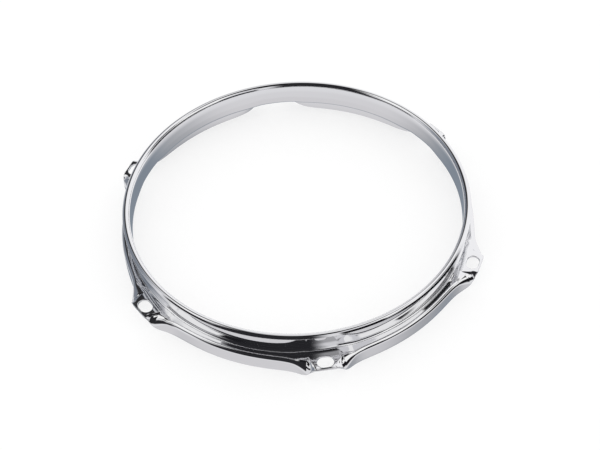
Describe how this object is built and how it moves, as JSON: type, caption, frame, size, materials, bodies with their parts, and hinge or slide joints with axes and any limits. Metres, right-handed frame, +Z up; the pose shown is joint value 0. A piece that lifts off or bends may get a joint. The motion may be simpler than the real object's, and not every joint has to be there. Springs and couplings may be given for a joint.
{
  "type": "drum hoop",
  "caption": "Chrome-plated pressed-steel triple-flanged drum hoop with an outward lip, a plain neck, a head ledge, a skirt and pierced tension-rod ears.",
  "frame": {"origin": "the hoop's axis, on the plane that the skirt's lower edge stands on", "axes": "+Z up through the lip, +X through the middle of ear_1, +Y 90 degrees on"},
  "size_m": [0.3546, 0.3278, 0.04],
  "materials": {
    "chrome_plate": "polished chrome plate on steel sheet"
  },
  "bodies": {
    "root": {"rolled_rim": "chrome_plate", "butt_weld": "chrome_plate", "ledge_1": "chrome_plate", "ledge_2": "chrome_plate", "ledge_3": "chrome_plate", "ledge_4": "chrome_plate", "ledge_5": "chrome_plate", "ledge_6": "chrome_plate", "ledge_7": "chrome_plate", "skirt_1": "chrome_plate", "skirt_2": "chrome_plate", "skirt_3": "chrome_plate", "skirt_4": "chrome_plate", "skirt_5": "chrome_plate", "skirt_6": "chrome_plate", "skirt_7": "chrome_plate", "ear_1": "chrome_plate", "ear_2": "chrome_plate", "ear_3": "chrome_plate", "ear_4": "chrome_plate", "ear_5": "chrome_plate", "ear_6": "chrome_plate"}
  },
  "joints": []
}
